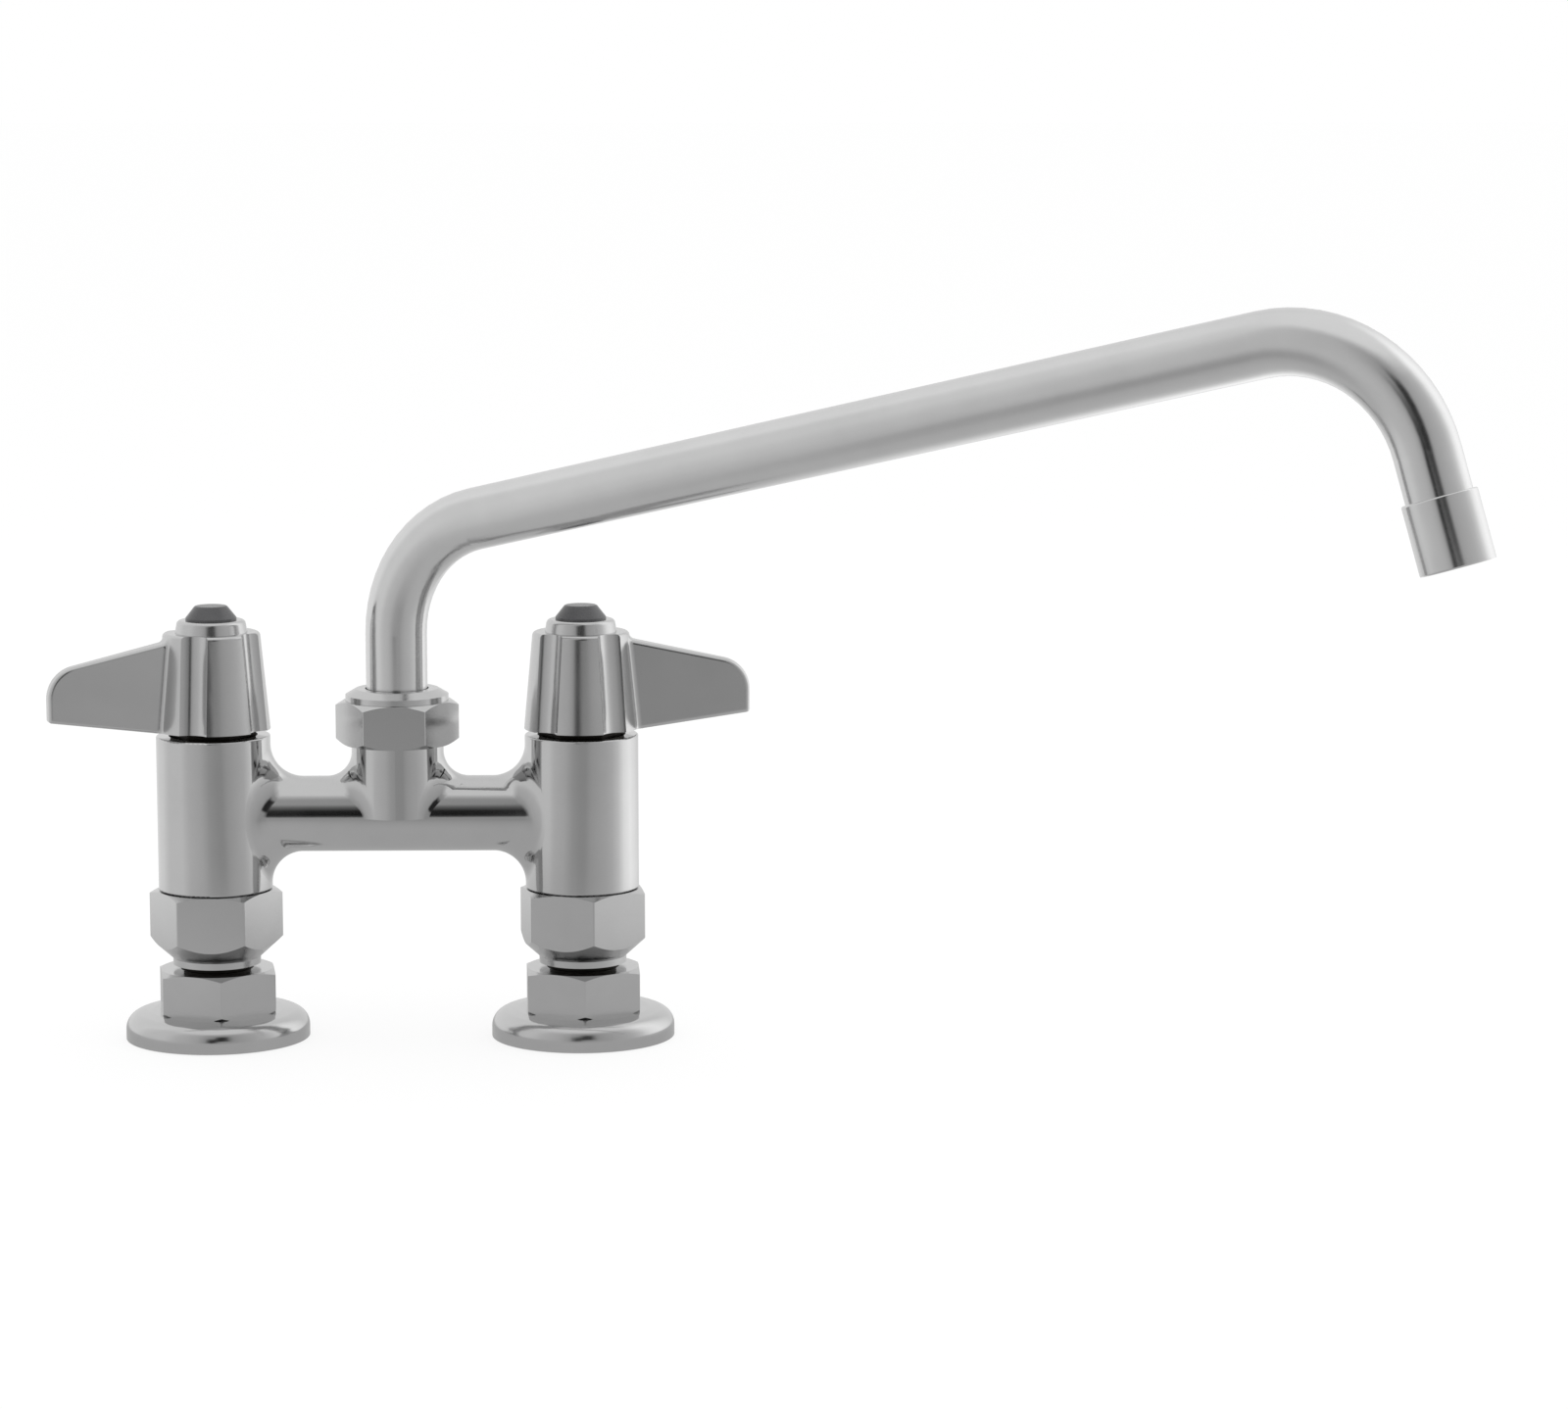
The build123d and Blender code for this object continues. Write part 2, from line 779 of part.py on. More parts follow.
def index_button():
    """Bare index button: a plug in the lever's recess under a low cone."""
    return turned(
        (0, button_foot),
        (button_plug_radius(), button_foot),
        (button_plug_radius(), collar_top),
        (button_radius, collar_top),
        (button_radius, collar_top + button_rim_height),
        (button_top_radius, collar_top + button_height, button_top_round),
        (0, collar_top + button_height),
    )


def spout_sleeve():
    """Turned sleeve on the spout's foot: ring grooves in the riser, a collar on its rim, a tube socket."""
    stem_wall = riser_bore_radius - running_clearance
    groove_wall = stem_wall - sleeve_ring_depth
    collar_top_z = riser_rim + sleeve_collar_height
    outline = [(sleeve_bore_radius, sleeve_foot), (stem_wall, sleeve_foot)]
    for rise in sleeve_ring_rises:
        foot = sleeve_foot + rise
        outline += [(stem_wall, foot), (groove_wall, foot)]
        outline += [(groove_wall, foot + sleeve_ring_height), (stem_wall, foot + sleeve_ring_height)]
    outline += [(stem_wall, riser_rim), (sleeve_collar_radius, riser_rim)]
    outline += [(sleeve_collar_radius, collar_top_z), (tube_radius + thread_clearance, collar_top_z)]
    outline += [(tube_radius + thread_clearance, tube_foot), (sleeve_bore_radius, tube_foot)]
    return turned(*outline)


def sleeve_o_rings():
    """Two rings that seal the spout sleeve in the riser."""
    outer = riser_bore_radius - running_clearance
    rings = []
    for rise in sleeve_ring_rises:
        foot = sleeve_foot + rise
        rings.append(seal_ring(outer, outer - sleeve_ring_depth, foot, foot + sleeve_ring_height))
    return Compound(children=rings)


def thrust_washer():
    """Slippery washer between the sleeve's collar and the swivel nut."""
    foot = riser_rim + sleeve_collar_height
    return ring(sleeve_collar_radius, tube_radius + fitting_clearance, foot, foot + thrust_washer_thickness)


def swivel_nut():
    """Hexagon nut with a domed collar that closes round the spout tube."""
    lip_foot = riser_rim + sleeve_collar_height + thrust_washer_thickness + axial_clearance
    hexagon = hex_body(
        swivel_hex_across,
        riser_shoulder,
        swivel_top,
        swivel_hex_across / 2,
        swivel_hex_slope,
        swivel_hex_slope,
    )
    dome = turned(
        (0, swivel_top - 1),
        (swivel_dome_radius, swivel_top - 1),
        (swivel_dome_radius, swivel_top + swivel_dome_height / 2),
        (swivel_dome_top_radius, swivel_top + swivel_dome_height, swivel_dome_round / 2),
        (0, swivel_top + swivel_dome_height),
    )
    thread = rod(riser_thread_radius + thread_clearance, riser_shoulder - 1, lip_foot)
    tube_hole = rod(tube_radius + 2 * fitting_clearance, lip_foot - 1, swivel_top + swivel_dome_height + 1)
    return hexagon + dome - thread - tube_hole


def outlet_place():
    """Centre of the outlet and the direction back up the tube, before the spout is swung."""
    angle = math.radians(spout_outlet_angle)
    slope = math.radians(spout_slope)
    first_turn = math.pi / 2 - slope
    bend_start = riser_rim + sleeve_collar_height + spout_first_bend_rise
    first_corner = bend_start + spout_first_bend_radius * math.tan(first_turn / 2)
    last_tangent = spout_outlet_bend_radius * math.tan((slope + angle) / 2)
    tail = spout_outlet_straight + last_tangent
    corner_x = spout_reach - tail * math.cos(angle)
    corner_z = first_corner + corner_x * math.tan(slope)
    upstream = Vector(-math.cos(angle), 0, math.sin(angle))
    outlet = Vector(corner_x, 0, corner_z) - upstream * tail
    return outlet, upstream, Vector(0, 0, first_corner), Vector(corner_x, 0, corner_z)


def on_outlet(piece):
    """Place a piece drawn with its outlet face at zero and the tube above it."""
    outlet, upstream, _, _ = outlet_place()
    plane = Plane(origin=outlet, x_dir=(0, 1, 0), z_dir=upstream)
    return plane.location * piece


def spout_tube():
    """Bent tube: up out of the nut, a long rising run, and a tight bend down to the outlet."""
    outlet, upstream, first_corner, last_corner = outlet_place()
    tube_end = outlet + upstream * tube_end_inset()
    route = FilletPolyline(
        (0, 0, tube_foot),
        first_corner,
        last_corner,
        tube_end,
        radius=[spout_first_bend_radius, spout_outlet_bend_radius],
    )
    section = Pos(0, 0, tube_foot) * (Circle(tube_radius) - Circle(tube_bore_radius))
    return sweep(section, path=route)


def tube_end_inset():
    """Distance from the outlet face up to the end of the tube inside the tip."""
    return tip_lip_height + screen_thickness + straightener_height + outlet_washer_thickness


def outlet_tip():
    """Smooth tip screwed over the tube's end, with a lip that holds its insert."""
    inset = tube_end_inset()
    return turned(
        (tip_lip_radius, 0),
        (tip_radius, 0, tip_edge_round),
        (tip_radius, tip_length, tip_edge_round),
        (tube_radius + thread_clearance, tip_length),
        (tube_radius + thread_clearance, inset),
        (tip_pocket_radius, inset),
        (tip_pocket_radius, tip_lip_height),
        (tip_lip_radius, tip_lip_height),
    )


def outlet_screen():
    """Perforated disc that rests on the tip's lip."""
    top = tip_lip_height + screen_thickness
    screen = rod(tip_pocket_radius - fitting_clearance / 2, tip_lip_height, top)
    hole = rod(screen_hole_radius, tip_lip_height - 1, top + 1)
    for count, radius in screen_hole_rings:
        for index in range(count):
            x, y = on_circle(radius, 360 * index / count)
            screen -= Pos(x, y, 0) * hole
    return screen


def flow_straightener():
    """Plastic insert: a ring with vanes that meet on a small core."""
    foot = tip_lip_height + screen_thickness
    top = foot + straightener_height
    outer = tip_pocket_radius - fitting_clearance / 2
    insert = ring(outer, outer - straightener_wall, foot, top) + rod(straightener_wall, foot, top)
    vane = Box(outer - straightener_wall / 2, straightener_vane, top - foot, align=(Align.MIN, Align.CENTER, Align.MIN))
    for index in range(straightener_vanes):
        insert += Rot(0, 0, 360 * index / straightener_vanes) * Pos(0, 0, foot) * vane
    return insert


def outlet_washer():
    """Rubber washer between the insert and the end of the tube."""
    foot = tip_lip_height + screen_thickness + straightener_height
    outer = tip_pocket_radius - fitting_clearance / 2
    return ring(outer, tip_lip_radius, foot, foot + outlet_washer_thickness)


def leg_pieces(flange_turn, nut_turn, lever_turn):
    """Pieces of one leg about its own axis, drawn as the hot leg."""
    return {
        "inlet_flange": inlet_flange(flange_turn),
        "coupling_tail": coupling_tail(),
        "coupling_washer": coupling_washer(),
        "coupling_nut": coupling_nut(nut_turn),
        "seat_seal": seat_seal(),
        "fixed_disc": fixed_disc(),
        "moving_disc": moving_disc(),
        "cartridge_housing": cartridge_housing(),
        "housing_o_ring": housing_o_ring(),
        "bonnet": bonnet(),
        "stem": stem(),
        "stem_o_rings": stem_o_rings(),
        "stem_clip": stem_clip(),
        "lever_handle": lever_handle(lever_turn),
        "handle_screw": handle_screw(),
        "index_button": index_button(),
    }


def spout_pieces():
    """Pieces that swing with the spout, drawn with the outlet towards +X."""
    return {
        "spout_sleeve": spout_sleeve(),
        "sleeve_o_rings": sleeve_o_rings(),
        "thrust_washer": thrust_washer(),
        "spout_tube": spout_tube(),
        "outlet_tip": on_outlet(outlet_tip()),
        "outlet_screen": on_outlet(outlet_screen()),
        "flow_straightener": on_outlet(flow_straightener()),
        "outlet_washer": on_outlet(outlet_washer()),
    }


def all_pieces():
    """Every node of the faucet in its place."""
    half = leg_centres / 2
    nodes = {"body_casting": body_casting(), "swivel_nut": swivel_nut()}
    for name, piece in leg_pieces(hot_flange_turn, hot_nut_turn, hot_lever_turn).items():
        nodes["hot_" + name] = Pos(-half, 0, 0) * piece
    for name, piece in leg_pieces(cold_flange_turn, cold_nut_turn, cold_lever_turn).items():
        nodes["cold_" + name] = Pos(half, 0, 0) * mirror(piece, about=Plane.YZ)
    for name, piece in spout_pieces().items():
        nodes[name] = Rot(0, 0, -spout_swing) * piece
    return nodes


os.makedirs("parts", exist_ok=True)
for node_name, node_shape in all_pieces().items():
    export_step(node_shape, f"parts/{node_name}.step")
    print(node_name, len(node_shape.solids()))
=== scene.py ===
"""Looks of a deck-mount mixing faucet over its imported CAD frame: plated finishes, threads and the studio."""

import json
import math

import bmesh
import bpy
from bpy.props import FloatProperty, FloatVectorProperty, IntProperty, PointerProperty
from mathutils import Euler, Matrix, Vector


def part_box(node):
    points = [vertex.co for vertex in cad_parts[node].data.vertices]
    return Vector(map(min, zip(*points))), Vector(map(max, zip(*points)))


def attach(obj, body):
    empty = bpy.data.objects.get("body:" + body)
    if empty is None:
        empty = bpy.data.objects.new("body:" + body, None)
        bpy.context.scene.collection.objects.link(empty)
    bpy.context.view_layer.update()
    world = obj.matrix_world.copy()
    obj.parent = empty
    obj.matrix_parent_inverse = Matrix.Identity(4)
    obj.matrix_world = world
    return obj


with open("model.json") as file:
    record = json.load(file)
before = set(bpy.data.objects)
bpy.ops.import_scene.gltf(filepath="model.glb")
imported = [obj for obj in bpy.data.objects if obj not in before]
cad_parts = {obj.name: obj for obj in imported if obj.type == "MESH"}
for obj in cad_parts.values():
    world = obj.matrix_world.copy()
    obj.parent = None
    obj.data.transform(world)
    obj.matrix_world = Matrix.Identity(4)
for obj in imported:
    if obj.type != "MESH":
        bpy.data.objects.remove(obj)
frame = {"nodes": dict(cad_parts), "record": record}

bl_info = {
    "name": "Deck Faucet Looks",
    "version": (1, 0, 0),
    "blender": (4, 5, 0),
    "location": "View3D > Sidebar > Faucet",
    "description": "Dresses the packed deck-mount faucet with its finishes, threads and studio",
    "category": "Object",
}

MM = 0.001
LEGS = ("hot", "cold")
WHITE = (1.0, 1.0, 1.0, 1.0)

# Brightness of the light tent by the direction seen from the faucet, in degrees to the right of the front
TENT_TONES = (
    (-180, 0.82), (-150, 0.88), (-115, 0.93), (-95, 0.77), (-66, 0.77), (-50, 0.63), (-27, 0.56), (-10, 0.43),
    (5, 0.38), (15, 0.38), (26, 0.46), (55, 0.56), (68, 0.64), (80, 0.80), (94, 1.15), (111, 1.30), (130, 1.12),
    (150, 0.84), (180, 0.82),
)
# The way in for the camera is a dark slot in the tent's front: share of the wall's tone by height, and its edges in
# degrees
SLOT_TONES = ((0.0, 0.30), (0.06, 0.10), (0.15, 0.02), (0.45, 0.05), (0.75, 0.40), (1.05, 1.0))
SLOT_EDGES = ((-13, 0.0), (-8, 1.0), (-1, 1.0), (4, 0.0))
# A dark patch beside the slot that reaches higher, as a camera's stand would show
STAND_TONES = ((0.22, 1.0), (0.34, 0.06), (1.15, 0.06), (1.50, 1.0))
STAND_EDGES = ((-1, 0.0), (2, 1.0), (14, 1.0), (21, 0.0))
# The wall's tone drifts to the ceiling's one, by height
TOP_TONE = 0.87
TOP_EDGES = ((1.7, 0.0), (3.0, 1.0))
# The floor cloth is even round the faucet and darkens far out in front of the slot, by distance
CLOTH_TONE = 0.54
CLOTH_EDGES = ((0.08, 1.0), (0.30, 0.0))
CLOTH_FADE = ((0.85, 1.0), (1.45, 0.25))
TENT_SEGMENTS = 96
# The floor lies just under the flanges and the tent's cloths lie between both
FLOOR_LEVEL = -0.0002
TENT_LEVEL = -0.0001
# Share of plain white in the floor that a camera or a mirror sees
FLOOR_GLOW = 0.8
# Soft boxes: name, place, width and the setting with the power
SOFT_BOXES = (
    ("key_soft_box", (1.1, -0.1, 0.35), 0.9, "key_power"),
    ("top_soft_box", (0.1, -0.25, 1.3), 1.2, "top_power"),
)
SOFT_BOX_AIM = (0.08, -0.05, 0.09)
SENSOR_WIDTH = 36.0
VIEW_END = 100.0

# Middle band of a noise that carries its tints and its polish
NOISE_BAND = (0.3, 0.7)
# Scales of the noises in plate and turned metal, how dark their tints go, and the depth of fine bumps
WIPE_SCALE = 55.0
GRAIN_SCALE = 900.0
WIPE_SHADE = 0.94
STAIN_SCALE = 180.0
STAIN_SHADE = 0.82
RING_SCALE = 700.0
RING_DRIFT = 1.5
RING_DEPTH = 0.00005
FINE_DEPTH = 0.0001
# How far a thread's foot reaches into the hole's wall
THREAD_FOOT = 0.05 * MM

# Nodes by finish; a leg's nodes carry the leg's name in front
POLISHED_NODES = ("body_casting",)
NUT_NODES = ("swivel_nut",)
NUT_LEG_NODES = ("inlet_flange", "coupling_nut")
SATIN_NODES = ("spout_tube", "outlet_tip")
BRASS_LEG_NODES = ("cartridge_housing", "stem")
# Tail and bonnet sit in the gaps of the legs; their near-black colour is painted shade for those gaps
SHADE_PAINTED_LEG_NODES = ("coupling_tail", "bonnet")
STEEL_LEG_NODES = ("stem_clip", "handle_screw")
RUBBER_LEG_NODES = ("coupling_washer", "seat_seal", "housing_o_ring", "stem_o_rings")
CERAMIC_LEG_NODES = ("fixed_disc", "moving_disc")


class FaucetFinishes(bpy.types.PropertyGroup):
    """Colours and polish of the faucet's surfaces."""

    chrome_color: FloatVectorProperty(
        name="Chrome", description="Reflection colour of the polished plating",
        subtype="COLOR", size=3, min=0.0, max=1.0, default=(0.60, 0.60, 0.60),
    )
    chrome_roughness: FloatProperty(
        name="Chrome polish", description="Blur of the casting's reflections",
        subtype="FACTOR", min=0.0, max=1.0, default=0.09,
    )
    nut_roughness: FloatProperty(
        name="Nut polish", description="Blur of the reflections in nuts and flanges",
        subtype="FACTOR", min=0.0, max=1.0, default=0.18,
    )
    handle_roughness: FloatProperty(
        name="Handle polish", description="Blur of the levers' reflections",
        subtype="FACTOR", min=0.0, max=1.0, default=0.21,
    )
    spout_color: FloatVectorProperty(
        name="Spout chrome", description="Reflection colour of the satin spout",
        subtype="COLOR", size=3, min=0.0, max=1.0, default=(0.72, 0.72, 0.72),
    )
    spout_roughness: FloatProperty(
        name="Spout satin", description="Blur of the spout's reflections",
        subtype="FACTOR", min=0.0, max=1.0, default=0.18,
    )
    button_color: FloatVectorProperty(
        name="Index button", description="Colour of the bare index buttons",
        subtype="COLOR", size=3, min=0.0, max=1.0, default=(0.075, 0.075, 0.078),
    )
    brass_color: FloatVectorProperty(
        name="Brass", description="Colour of the unplated brass inside",
        subtype="COLOR", size=3, min=0.0, max=1.0, default=(0.62, 0.44, 0.19),
    )
    # Near-black colour of the tail and bonnet: painted shade for the gaps between nut and flange and under the
    # handle, not tarnish
    gap_shade_brass_color: FloatVectorProperty(
        name="Darkened brass", description="Colour of the shaded brass in the gaps of the legs",
        subtype="COLOR", size=3, min=0.0, max=1.0, default=(0.035, 0.032, 0.028),
    )


class FaucetThreads(bpy.types.PropertyGroup):
    """Sizes of the thread ridges inside the supply holes."""

    pitch: FloatProperty(
        name="Pitch", description="Rise of the supply thread in one turn",
        subtype="DISTANCE", unit="LENGTH", default=1.814 * MM,
    )
    ridge: FloatProperty(
        name="Ridge", description="Height of the thread's crest above the hole's wall",
        subtype="DISTANCE", unit="LENGTH", default=0.4 * MM,
    )
    end_gap: FloatProperty(
        name="Lead-in", description="Plain length at the mouth of the hole",
        subtype="DISTANCE", unit="LENGTH", default=1.0 * MM,
    )
    steps: IntProperty(
        name="Steps", description="Steps in one turn of the thread", min=12, max=96, default=48,
    )


class FaucetStudio(bpy.types.PropertyGroup):
    """Camera, floor and light."""

    camera_place: FloatVectorProperty(
        name="Camera place", description="Lens position in the faucet's frame",
        subtype="TRANSLATION", unit="LENGTH", size=3, default=(0.0792, -1.2111, 0.2674),
    )
    camera_pitch: FloatProperty(
        name="Pitch", description="How far the camera looks down",
        subtype="ANGLE", unit="ROTATION", default=0.1433,
    )
    camera_yaw: FloatProperty(
        name="Yaw", description="How far the camera looks to the right",
        subtype="ANGLE", unit="ROTATION", default=0.0228,
    )
    lens: FloatProperty(
        name="Lens", description="Focal length in millimetres on a 36 mm sensor", min=10.0, default=101.6,
    )
    floor_color: FloatVectorProperty(
        name="Floor", description="Colour of the floor",
        subtype="COLOR", size=3, min=0.0, max=1.0, default=(0.98, 0.98, 0.98),
    )
    floor_size: FloatProperty(
        name="Floor size", description="Width of the square floor",
        subtype="DISTANCE", unit="LENGTH", default=40.0,
    )
    room_light: FloatProperty(
        name="Room", description="Brightness of the room around the tent", min=0.0, default=1.0,
    )
    tent_radius: FloatProperty(
        name="Tent radius", description="Radius of the light tent that the plate reflects",
        subtype="DISTANCE", unit="LENGTH", default=1.5,
    )
    tent_height: FloatProperty(
        name="Tent height", description="Height of the light tent's wall",
        subtype="DISTANCE", unit="LENGTH", default=3.0,
    )
    key_power: FloatProperty(
        name="Key light", description="Power of the soft box on the right", unit="POWER", min=0.0, default=1.5,
    )
    top_power: FloatProperty(
        name="Top light", description="Power of the soft box above", unit="POWER", min=0.0, default=2.0,
    )


def node_names(leg_nodes, shared=()):
    """Names of the shared nodes and of both legs' copies."""
    return [f"{leg}_{name}" for leg in LEGS for name in leg_nodes] + list(shared)


def dress(material, names):
    """Gives CAD nodes a material in place of their plain one."""
    for name in names:
        for slot in frame["nodes"][name].material_slots:
            slot.material = material


def new_material(name):
    """New node material with its tree and principled shader."""
    material = bpy.data.materials.new(name)
    material.use_nodes = True
    tree = material.node_tree
    return material, tree, tree.nodes["Principled BSDF"]


def add(tree, kind, links=(), **settings):
    """Adds a node, sets its values and links its inputs from (input, socket) pairs."""
    node = tree.nodes.new(kind)
    for key, value in settings.items():
        if hasattr(node, key):
            setattr(node, key, value)
        else:
            node.inputs[key.replace("_", " ").title()].default_value = value
    for name, socket in links:
        tree.links.new(socket, node.inputs[name])
    return node


def feed(tree, node, index, value):
    """Sets an input to a plain number or links it to a socket."""
    if isinstance(value, float):
        node.inputs[index].default_value = value
    else:
        tree.links.new(value, node.inputs[index])


def product(tree, first, second):
    """Product of two values, each a socket or a plain number."""
    node = add(tree, "ShaderNodeMath", operation="MULTIPLY")
    feed(tree, node, 0, first)
    feed(tree, node, 1, second)
    return node.outputs[0]


def mixed(tree, share, first, second):
    """Value that goes from a first to a second one with a share, each a socket or a plain number."""
    node = add(tree, "ShaderNodeMix", [(0, share)], data_type="FLOAT")
    feed(tree, node, 2, first)
    feed(tree, node, 3, second)
    return node.outputs[0]


def object_place(tree, scale=(1.0, 1.0, 1.0), turn=(0.0, 0.0, 0.0)):
    """Object coordinates, stretched and turned by a mapping."""
    coordinates = add(tree, "ShaderNodeTexCoord")
    mapping = add(tree, "ShaderNodeMapping", [("Vector", coordinates.outputs["Object"])])
    mapping.inputs["Rotation"].default_value = turn
    mapping.inputs["Scale"].default_value = scale
    return mapping.outputs["Vector"]


def noise(tree, place, scale, detail=3.0, roughness=0.5):
    """Noise value at a place."""
    node = add(tree, "ShaderNodeTexNoise", [("Vector", place)], scale=scale, detail=detail)
    node.inputs["Roughness"].default_value = roughness
    return node.outputs["Fac"]


def spread(tree, value, low, high):
    """Maps a noise value's middle band to a range."""
    node = add(tree, "ShaderNodeMapRange", [("Value", value)])
    for name, number in zip(("From Min", "From Max", "To Min", "To Max"), (*NOISE_BAND, low, high)):
        node.inputs[name].default_value = number
    return node.outputs["Result"]


def tinted(tree, value, color, dark):
    """Colour that drifts between a shade of itself and itself."""
    node = add(tree, "ShaderNodeValToRGB", [("Fac", value)])
    shade = [channel * dark for channel in color]
    for point, position, tint in zip(node.color_ramp.elements, NOISE_BAND, (shade, color)):
        point.position = position
        point.color = (*tint, 1.0)
    return node.outputs["Color"]


def ramp(tree, value, stops):
    """Value that follows (position, value) stops; both are scaled, because a ramp's own ones end at one."""
    reach = max(1.0, stops[-1][0])
    top = max(tone for _, tone in stops)
    share = add(tree, "ShaderNodeMath", [(0, value)], operation="DIVIDE")
    feed(tree, share, 1, reach)
    node = add(tree, "ShaderNodeValToRGB", [("Fac", share.outputs[0])])
    points = node.color_ramp.elements
    points[0].position, points[1].position = stops[0][0] / reach, stops[-1][0] / reach
    for position, _ in stops[1:-1]:
        points.new(position / reach)
    for point, (_, tone) in zip(points, stops):
        point.color = (tone / top, tone / top, tone / top, 1.0)
    return product(tree, node.outputs["Color"], top)


def arc(tree, angle, stops):
    """Value around the faucet from (degrees to the right of the front, value) stops."""
    return ramp(tree, angle, [(0.5 + degrees / 360, tone) for degrees, tone in stops])


def lowered(tree, tone, patch, share):
    """Tone that falls to a share of itself inside a patch."""
    return product(tree, tone, mixed(tree, patch, 1.0, share))


def seen(tree):
    """One for a ray of the camera or of a mirror or glass, and zero for light on the faucet."""
    path = add(tree, "ShaderNodeLightPath")
    mirrored = add(
        tree, "ShaderNodeMath",
        [(0, path.outputs["Is Glossy Ray"]), (1, path.outputs["Is Transmission Ray"])], operation="MAXIMUM",
    )
    both = add(
        tree, "ShaderNodeMath", [(0, path.outputs["Is Camera Ray"]), (1, mirrored.outputs[0])], operation="MAXIMUM",
    )
    return both.outputs[0]


def bump(tree, height, strength, distance):
    """Bump from a height value."""
    node = add(tree, "ShaderNodeBump", [("Height", height)])
    node.inputs["Strength"].default_value = strength
    node.inputs["Distance"].default_value = distance
    return node.outputs["Normal"]


def plated(name, color, roughness, swing, grain=(1.0, 1.0, 1.0), turn=(0.0, 0.0, 0.0), depth=0.02):
    """Nickel and chrome plate: wiping marks in its polish and a very fine grain."""
    material, tree, shader = new_material(name)
    wiped = noise(tree, object_place(tree), WIPE_SCALE, detail=4.0, roughness=0.6)
    fine = noise(tree, object_place(tree, grain, turn), GRAIN_SCALE, detail=2.0)
    tree.links.new(tinted(tree, wiped, color, WIPE_SHADE), shader.inputs["Base Color"])
    tree.links.new(spread(tree, wiped, roughness - swing, roughness + swing), shader.inputs["Roughness"])
    tree.links.new(bump(tree, fine, depth, FINE_DEPTH), shader.inputs["Normal"])
    shader.inputs["Metallic"].default_value = 1.0
    return material


def turned_metal(name, color, roughness):
    """Lathe-turned metal: fine rings around the upright axis of each leg."""
    material, tree, shader = new_material(name)
    rings = add(tree, "ShaderNodeTexWave", [("Vector", object_place(tree))], wave_type="BANDS", bands_direction="Z")
    rings.inputs["Scale"].default_value = RING_SCALE
    rings.inputs["Distortion"].default_value = RING_DRIFT
    stain = noise(tree, object_place(tree), STAIN_SCALE)
    tree.links.new(tinted(tree, stain, color, STAIN_SHADE), shader.inputs["Base Color"])
    tree.links.new(spread(tree, stain, roughness, roughness + 0.12), shader.inputs["Roughness"])
    tree.links.new(bump(tree, rings.outputs["Fac"], 0.2, RING_DEPTH), shader.inputs["Normal"])
    shader.inputs["Metallic"].default_value = 1.0
    return material


def moulded(name, color, roughness, dark, scale, depth):
    """Rubber, ceramic or plastic: a soft mottle and a fine surface."""
    material, tree, shader = new_material(name)
    mottle = noise(tree, object_place(tree), scale)
    fine = noise(tree, object_place(tree), scale * 9.0, detail=2.0)
    tree.links.new(tinted(tree, mottle, color, dark), shader.inputs["Base Color"])
    tree.links.new(spread(tree, fine, roughness, roughness + 0.1), shader.inputs["Roughness"])
    tree.links.new(bump(tree, fine, depth, FINE_DEPTH), shader.inputs["Normal"])
    return material


class FAUCET_OT_plated_finish(bpy.types.Operator):
    """Gives the casting, nuts, flanges and levers their chrome plate"""

    bl_idname = "faucet.plated_finish"
    bl_label = "Plated Finish"

    def execute(self, context):
        looks = context.scene.faucet_finishes
        color = tuple(looks.chrome_color)
        dress(plated("polished_chrome_plate", color, looks.chrome_roughness, swing=0.025), POLISHED_NODES)
        dress(plated("nut_chrome_plate", color, looks.nut_roughness, swing=0.04, depth=0.05),
              node_names(NUT_LEG_NODES, NUT_NODES))
        dress(plated("lever_chrome_plate", color, looks.handle_roughness, swing=0.03), node_names(("lever_handle",)))
        return {"FINISHED"}


class FAUCET_OT_spout_finish(bpy.types.Operator):
    """Gives the spout tube and its tip a satin plate with a grain along the run"""

    bl_idname = "faucet.spout_finish"
    bl_label = "Spout Finish"

    def execute(self, context):
        looks = context.scene.faucet_finishes
        low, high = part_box("outlet_tip")
        run = math.atan2(low.y + high.y, low.x + high.x)
        satin = plated(
            "satin_chrome_plate", tuple(looks.spout_color), looks.spout_roughness, swing=0.04,
            grain=(0.05, 1.0, 1.0), turn=(0.0, 0.0, -run), depth=0.03,
        )
        dress(satin, SATIN_NODES)
        return {"FINISHED"}


class FAUCET_OT_inner_finishes(bpy.types.Operator):
    """Gives the pieces inside their brass, steel, rubber, ceramic and plastic"""

    bl_idname = "faucet.inner_finishes"
    bl_label = "Inner Finishes"

    def execute(self, context):
        looks = context.scene.faucet_finishes
        metals = (
            ("turned_brass", looks.brass_color, 0.25, node_names(BRASS_LEG_NODES, ("spout_sleeve",))),
            # Tail and bonnet: near-black brass that is painted shade for the gaps they sit in
            ("tarnished_brass", looks.gap_shade_brass_color, 0.5, node_names(SHADE_PAINTED_LEG_NODES)),
            ("spring_steel", (0.55, 0.55, 0.56), 0.22, node_names(STEEL_LEG_NODES, ("outlet_screen",))),
        )
        for name, color, roughness, nodes in metals:
            dress(turned_metal(name, tuple(color), roughness), nodes)
        rubber = moulded(
            "black_nitrile_rubber", (0.018, 0.018, 0.019), roughness=0.55, dark=0.7, scale=300.0, depth=0.15,
        )
        dress(rubber, node_names(RUBBER_LEG_NODES, ("sleeve_o_rings", "outlet_washer")))
        ceramic = moulded("fired_ceramic", (0.86, 0.85, 0.82), roughness=0.22, dark=0.93, scale=120.0, depth=0.03)
        dress(ceramic, node_names(CERAMIC_LEG_NODES))
        acetal = moulded("white_acetal", (0.80, 0.80, 0.78), roughness=0.42, dark=0.95, scale=90.0, depth=0.08)
        dress(acetal, ("thrust_washer", "flow_straightener"))
        button = moulded(
            "index_button_plastic", tuple(looks.button_color), roughness=0.2, dark=0.85, scale=140.0, depth=0.05,
        )
        dress(button, node_names(("index_button",)))
        return {"FINISHED"}


